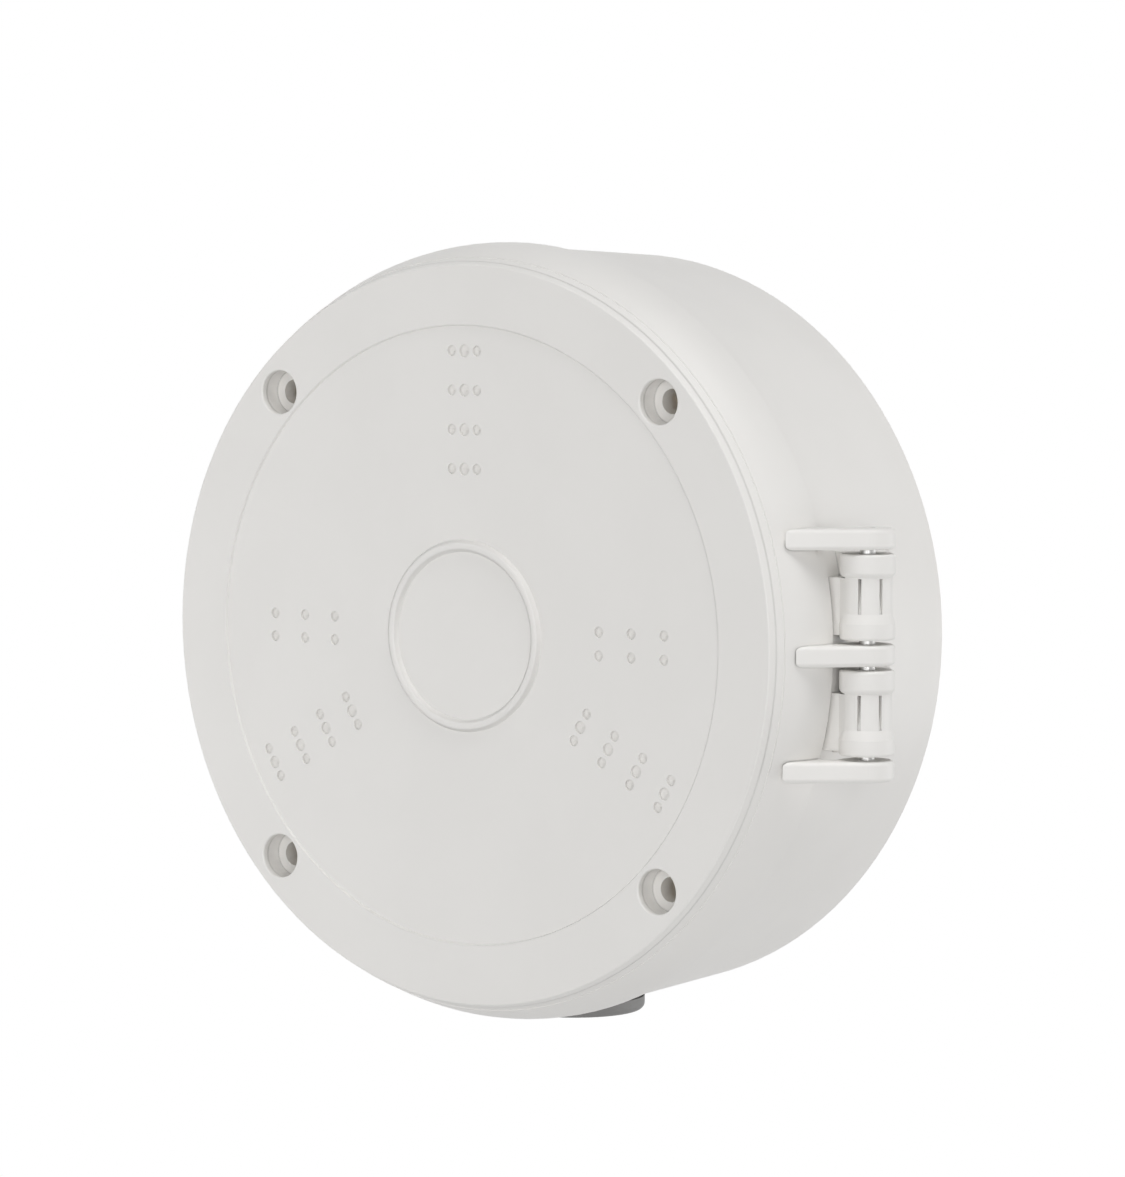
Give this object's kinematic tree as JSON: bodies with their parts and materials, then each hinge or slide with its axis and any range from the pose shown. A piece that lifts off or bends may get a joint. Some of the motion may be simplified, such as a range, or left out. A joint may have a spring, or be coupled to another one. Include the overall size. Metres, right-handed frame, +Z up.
{
  "type": "camera junction box",
  "caption": "Round weatherproof wall box for surveillance camera wiring, with a hinged lid that carries the camera, a seal, lid screw threads and a plugged bottom cable entry.",
  "frame": {"origin": "centre of the flat back face that goes against the wall", "axes": "+Z up, +Y into the wall, lid faces -Y, hinge on +X, cable entry at the bottom on -Z"},
  "size_m": [0.1705, 0.0606, 0.1609],
  "materials": {
    "housing_plastic": "fine moulded satin, white",
    "lid_plastic": "fine moulded satin, white",
    "gasket_rubber": "matt grey foam rubber",
    "pin_steel": "drawn stainless rod",
    "plug_plastic": "matt moulded, mid grey",
    "washer_rubber": "matt black rubber",
    "nut_plastic": "matt moulded, mid grey",
    "insert_brass": "turned, bright",
    "seal_rubber": "matt dark grey rubber"
  },
  "bodies": {
    "base": {"base_housing": "housing_plastic", "entry_plug": "plug_plastic", "entry_washer": "washer_rubber", "entry_locknut": "nut_plastic", "screw_insert_1": "insert_brass", "screw_insert_2": "insert_brass", "screw_insert_3": "insert_brass", "screw_insert_4": "insert_brass", "fixing_seal_1": "seal_rubber", "fixing_seal_2": "seal_rubber", "fixing_seal_3": "seal_rubber", "fixing_seal_4": "seal_rubber"},
    "lid": {"lid": "lid_plastic", "lid_gasket": "gasket_rubber", "hinge_pin": "pin_steel"}
  },
  "joints": [
    {"name": "lid_hinge", "type": "hinge", "parent": "base", "child": "lid", "pos_m": [0.085, -0.0398, -0.00075], "axis": [0, 0, 1], "range_deg": [0, 180]}
  ]
}
